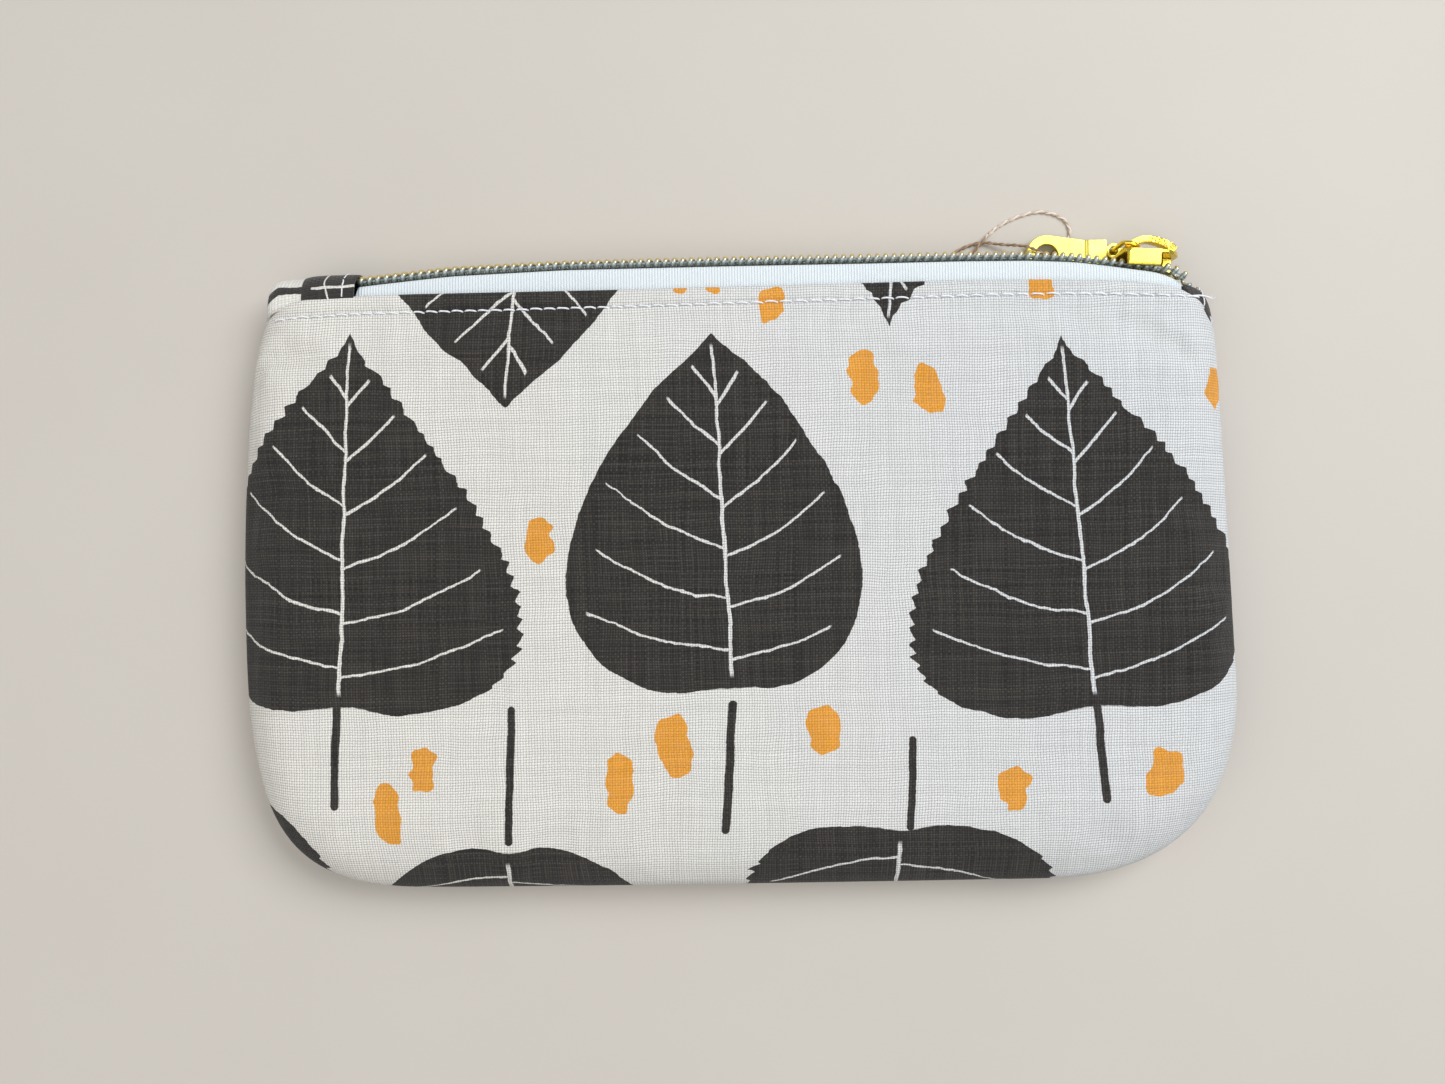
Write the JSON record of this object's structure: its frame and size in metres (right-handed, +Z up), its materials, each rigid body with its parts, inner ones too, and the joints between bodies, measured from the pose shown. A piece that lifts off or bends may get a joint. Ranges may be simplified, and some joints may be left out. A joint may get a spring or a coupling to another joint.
{
  "type": "zippered pouch",
  "caption": "Flat lined fabric pouch with rounded lower corners, closed along its top edge by a coil zip with a metal slider, a link and a ring-ended pull.",
  "frame": {"origin": "on the surface the pouch lies on, below the middle of its width and of its height from bottom seam to pull", "axes": "+Z up from the surface through the printed front panel, +X along the closed zip towards the slider, +Y from the bottom seam towards the zip"},
  "size_m": [0.177, 0.1214, 0.012],
  "materials": {
    "outer_fabric": "plain-weave canvas printed with dark brown leaves and mustard spots",
    "interfacing": "white fusible fleece",
    "lining_fabric": "plain cotton",
    "zip_tape": "ribbed woven tape, pale blue-white",
    "zip_coil": "moulded monofilament, half transparent, olive gold",
    "thread": "white sewing thread",
    "gold_metal": "polished bright gold plate",
    "tab_fabric_left": "the same printed canvas, mostly dark",
    "tab_fabric_right": "the same printed canvas, dark",
    "string": "two-ply twisted cotton string"
  },
  "bodies": {
    "pouch": {"outer_front": "outer_fabric", "outer_back": "outer_fabric", "interfacing_front": "interfacing", "interfacing_back": "interfacing", "lining_front": "lining_fabric", "lining_back": "lining_fabric", "zip_tape_front": "zip_tape", "zip_tape_back": "zip_tape", "zip_coil_front": "zip_coil", "zip_coil_back": "zip_coil", "topstitch_front": "thread", "topstitch_back": "thread", "zip_end_tab_left": "tab_fabric_left", "tab_stitch_left": "thread", "zip_end_tab_right": "tab_fabric_right", "tab_stitch_right": "thread", "outer_seam_thread": "thread", "lining_seam_thread": "thread"},
    "slider": {"slider_body": "gold_metal"},
    "link": {"pull_link": "gold_metal"},
    "pull": {"pull_tab": "gold_metal", "tag_string": "string", "tag_string_knot": "string"}
  },
  "joints": [
    {"name": "slider_travel", "type": "slide", "parent": "pouch", "child": "slider", "axis": [-1, 0, 0], "range_m": [0, 0.134], "deforming": ["zip_coil_front", "zip_coil_back"]},
    {"name": "link_swing", "type": "hinge", "parent": "slider", "child": "link", "pos_m": [0.07386, 0.05181, 0.006], "axis": [0, 0, -1], "range_deg": [0, 80]},
    {"name": "pull_swing", "type": "hinge", "parent": "link", "child": "pull", "pos_m": [0.06957, 0.05551, 0.0016], "axis": [0, 0, -1], "range_deg": [0, 70]}
  ]
}
